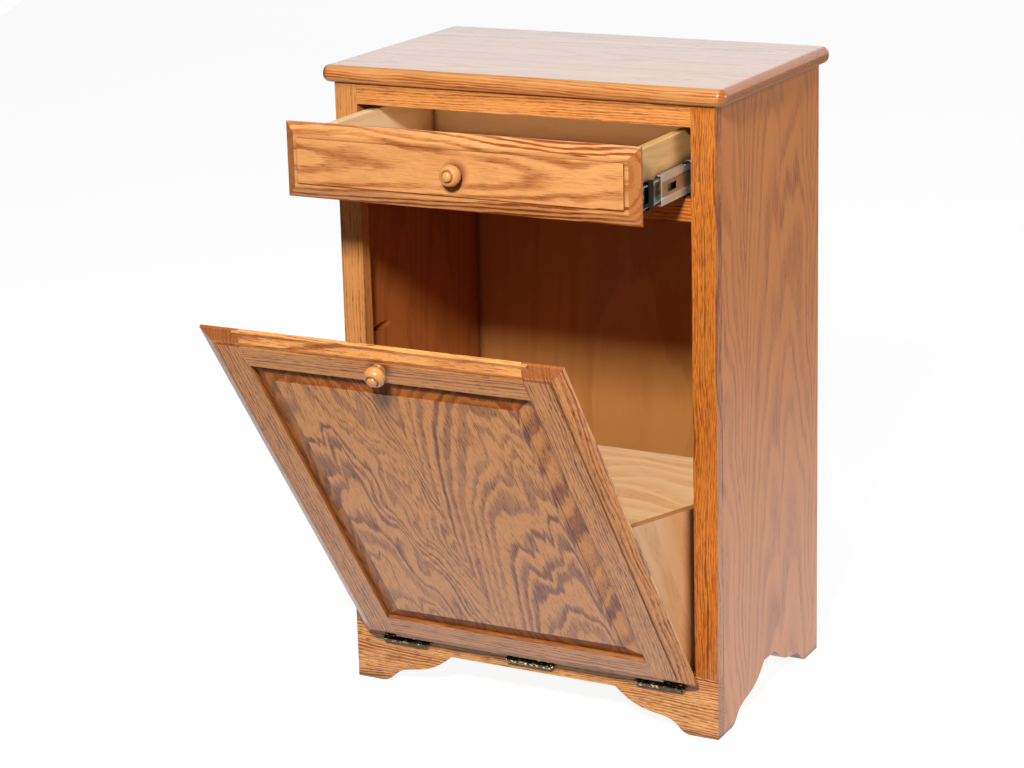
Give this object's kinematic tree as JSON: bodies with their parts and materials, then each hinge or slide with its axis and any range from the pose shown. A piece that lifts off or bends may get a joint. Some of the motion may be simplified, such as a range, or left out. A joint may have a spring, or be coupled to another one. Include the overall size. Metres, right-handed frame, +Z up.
{
  "type": "tilt-out bin cabinet",
  "caption": "Wooden tilt-out waste bin cabinet with a hinged raised-panel door carrying a bin shelf, a drawer on ball-bearing slides above it, and bracket feet.",
  "frame": {"origin": "on the floor, at the centre of the bounding box's bottom with the door and drawer open as pictured", "axes": "+Z up; +Y towards the back of the cabinet; +X to the right seen from the front"},
  "size_m": [0.562, 0.7302, 0.838],
  "materials": {
    "golden_oak": "satin lacquer over golden stain",
    "pale_maple": "clear satin lacquer",
    "pine": "sanded, unfinished",
    "zinc_steel": "bright zinc plate",
    "antique_brass": "antique, brushed",
    "black_plastic": "moulded nylon",
    "screw_steel": "yellow zinc plate"
  },
  "bodies": {
    "cabinet": {"back_panel": "golden_oak", "back_top_cleat": "pine", "base_rail": "golden_oak", "bottom_shelf": "golden_oak", "case_slide_screws": "screw_steel", "door_stop_screws": "screw_steel", "frame_hinge_screws": "antique_brass", "left_door_stop": "pine", "left_hinge_frame_leaf": "antique_brass", "left_hinge_pin": "antique_brass", "left_side_panel": "golden_oak", "left_slide_outer_member": "zinc_steel", "left_slide_spacer": "pine", "left_stile": "golden_oak", "left_top_cleat": "pine", "middle_hinge_frame_leaf": "antique_brass", "middle_hinge_pin": "antique_brass", "middle_rail": "golden_oak", "pocket_screws": "screw_steel", "right_door_stop": "pine", "right_hinge_frame_leaf": "antique_brass", "right_hinge_pin": "antique_brass", "right_side_panel": "golden_oak", "right_slide_outer_member": "zinc_steel", "right_slide_spacer": "pine", "right_stile": "golden_oak", "right_top_cleat": "pine", "top_board": "golden_oak", "top_rail": "golden_oak"},
    "door": {"bin_floor": "pale_maple", "door_bottom_rail": "golden_oak", "door_hinge_screws": "antique_brass", "door_knob": "golden_oak", "door_knob_screw": "screw_steel", "door_panel": "golden_oak", "door_top_rail": "golden_oak", "left_door_stile": "golden_oak", "left_gusset": "pale_maple", "left_hinge_door_leaf": "antique_brass", "middle_hinge_door_leaf": "antique_brass", "right_door_stile": "golden_oak", "right_gusset": "pale_maple", "right_hinge_door_leaf": "antique_brass"},
    "drawer": {"drawer_back": "pale_maple", "drawer_bottom": "pale_maple", "drawer_box_front": "pale_maple", "drawer_front": "golden_oak", "drawer_knob": "golden_oak", "drawer_knob_screw": "screw_steel", "drawer_slide_screws": "screw_steel", "left_drawer_side": "pale_maple", "left_slide_inner_member": "zinc_steel", "left_slide_lever": "black_plastic", "right_drawer_side": "pale_maple", "right_slide_inner_member": "zinc_steel", "right_slide_lever": "black_plastic"},
    "left_slide_middle": {"left_slide_middle_member": "zinc_steel", "left_slide_ball_cages": "black_plastic"},
    "right_slide_middle": {"right_slide_middle_member": "zinc_steel", "right_slide_ball_cages": "black_plastic"}
  },
  "joints": [
    {"name": "door_tilt", "type": "hinge", "parent": "cabinet", "child": "door", "pos_m": [0, 0.01385, 0.064], "axis": [1, 0, 0], "range_deg": [-34.9, 0]},
    {"name": "drawer_slide", "type": "slide", "parent": "cabinet", "child": "drawer", "axis": [0, -1, 0], "range_m": [-0.1525, 0.1475]},
    {"name": "left_middle_slide", "type": "slide", "parent": "cabinet", "child": "left_slide_middle", "axis": [0, -1, 0], "range_m": [-0.07625, 0.07375]},
    {"name": "right_middle_slide", "type": "slide", "parent": "cabinet", "child": "right_slide_middle", "axis": [0, -1, 0], "range_m": [-0.07625, 0.07375]}
  ],
  "couplings": [
    {"joint": "left_middle_slide", "follows": "drawer_slide", "ratio": 0.5},
    {"joint": "right_middle_slide", "follows": "drawer_slide", "ratio": 0.5}
  ]
}
